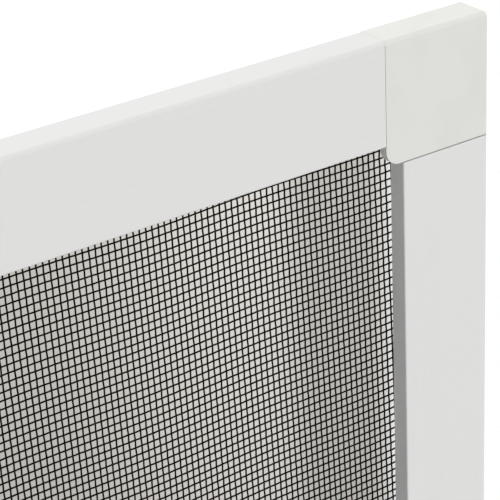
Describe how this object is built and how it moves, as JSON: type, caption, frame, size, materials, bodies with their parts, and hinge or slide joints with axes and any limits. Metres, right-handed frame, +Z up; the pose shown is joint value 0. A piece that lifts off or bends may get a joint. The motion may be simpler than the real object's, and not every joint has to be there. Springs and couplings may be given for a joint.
{
  "type": "window insect screen",
  "caption": "Flat window insect screen: slim white aluminium frame with moulded corner keys and dark woven mesh held in a rear groove by round spline.",
  "frame": {"origin": "middle of the screen, halfway through the frame's depth", "axes": "+X across the window to the right as seen from the front, +Y from the plain front to the back with the spline groove, +Z up"},
  "size_m": [0.6, 0.0076, 0.8],
  "materials": {
    "bar": "white powder coat, satin, on aluminium",
    "corner_key": "moulded white plastic, fine matt grain",
    "mesh": "dark grey coated glass-fibre yarn, plain weave",
    "spline": "soft black vinyl, extruded"
  },
  "bodies": {
    "root": {"top_rail": "bar", "bottom_rail": "bar", "left_stile": "bar", "right_stile": "bar", "corner_key_top_left": "corner_key", "corner_key_top_right": "corner_key", "corner_key_bottom_left": "corner_key", "corner_key_bottom_right": "corner_key", "insect_mesh": "mesh", "spline_top": "spline", "spline_bottom": "spline", "spline_left": "spline", "spline_right": "spline"}
  },
  "joints": []
}
